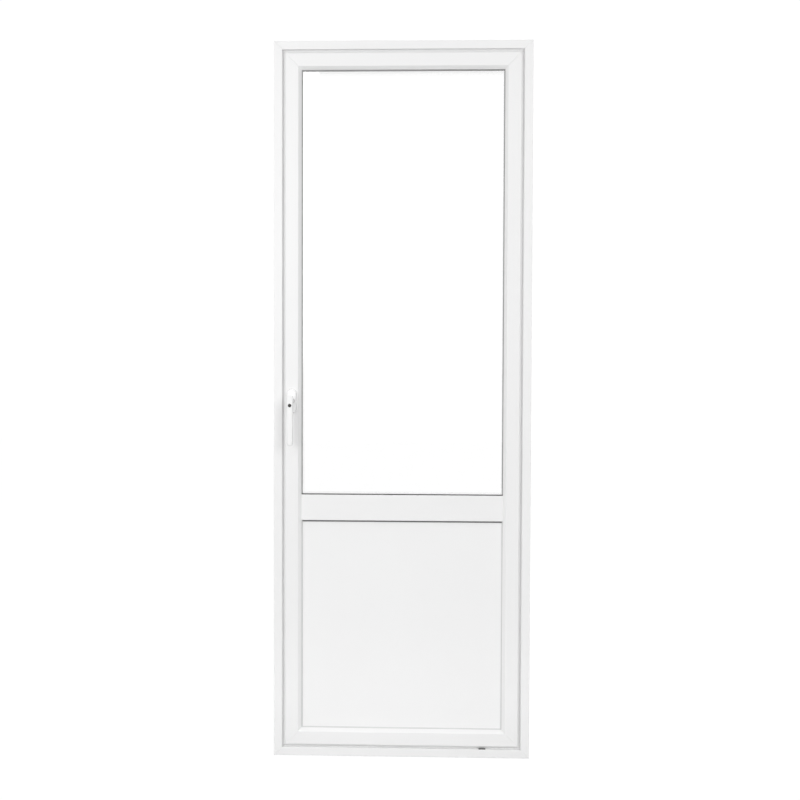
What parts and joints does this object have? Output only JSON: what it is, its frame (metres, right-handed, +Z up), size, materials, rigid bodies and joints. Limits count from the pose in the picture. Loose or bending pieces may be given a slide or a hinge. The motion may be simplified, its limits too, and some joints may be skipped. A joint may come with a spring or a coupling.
{
  "type": "balcony door",
  "caption": "White outward-opening balcony door in its frame, with tall glass over a solid lower panel, lever handle, hinges and seals.",
  "frame": {"origin": "middle of the frame's lower face, on the sill", "axes": "+Z up the door; -Y faces the room and +Y the balcony; the hinges are on the +X side"},
  "size_m": [0.75, 0.1421, 2.088],
  "materials": {
    "frame_plastic": "smooth white, low gloss",
    "leaf_plastic": "smooth white, low gloss",
    "panel_skin": "smooth white sheet, low gloss",
    "glazing_gasket": "matt grey rubber",
    "panel_gasket": "matt pale grey rubber",
    "frame_seal": "matt pale grey rubber",
    "clear_glass": "clear float glass",
    "glass_spacer": "matt",
    "hinge_pin_steel": "plain steel",
    "hinge_white": "white powder coat",
    "lock_steel": "galvanised",
    "dark_plastic": "matt black",
    "handle_white": "white powder coat, satin",
    "lock_cylinder": "dark"
  },
  "bodies": {
    "frame": {"frame_jamb_left": "frame_plastic", "frame_jamb_right": "frame_plastic", "frame_head": "frame_plastic", "frame_sill": "frame_plastic", "frame_seal": "frame_seal", "strikers": "lock_steel", "run_up_block": "dark_plastic", "hinge_frame_leaf_lower": "hinge_white", "hinge_frame_leaf_middle": "hinge_white", "hinge_frame_leaf_upper": "hinge_white", "hinge_pin_lower": "hinge_pin_steel", "hinge_pin_middle": "hinge_pin_steel", "hinge_pin_upper": "hinge_pin_steel"},
    "leaf": {"sash_stile_lock": "leaf_plastic", "sash_stile_hinge": "leaf_plastic", "sash_top_rail": "leaf_plastic", "sash_bottom_rail": "leaf_plastic", "transom": "leaf_plastic", "glass_pane_inner": "clear_glass", "glass_pane_middle": "clear_glass", "glass_pane_outer": "clear_glass", "glass_spacer_inner": "glass_spacer", "glass_spacer_outer": "glass_spacer", "lower_panel": "panel_skin", "glass_gasket_inner": "glazing_gasket", "glass_gasket_outer": "glazing_gasket", "panel_gasket_inner": "panel_gasket", "panel_gasket_outer": "panel_gasket", "glass_bead_left": "leaf_plastic", "glass_bead_right": "leaf_plastic", "glass_bead_bottom": "leaf_plastic", "glass_bead_top": "leaf_plastic", "panel_bead_left": "leaf_plastic", "panel_bead_right": "leaf_plastic", "panel_bead_bottom": "leaf_plastic", "panel_bead_top": "leaf_plastic", "lock_faceplate": "lock_steel", "lock_cams": "lock_steel", "handle_rosette": "handle_white", "hinge_sash_leaf_lower": "hinge_white", "hinge_sash_leaf_middle": "hinge_white", "hinge_sash_leaf_upper": "hinge_white"},
    "handle": {"handle_lever": "handle_white", "lock_cylinder": "lock_cylinder"}
  },
  "joints": [
    {"name": "door_swing", "type": "hinge", "parent": "frame", "child": "leaf", "pos_m": [0.35875, 0.0455, 1.044], "axis": [0, 0, -1], "range_deg": [0, 100]},
    {"name": "handle_turn", "type": "hinge", "parent": "leaf", "child": "handle", "pos_m": [-0.32225, -0.035, 1.046], "axis": [0, -1, 0], "range_deg": [0, 90]}
  ]
}
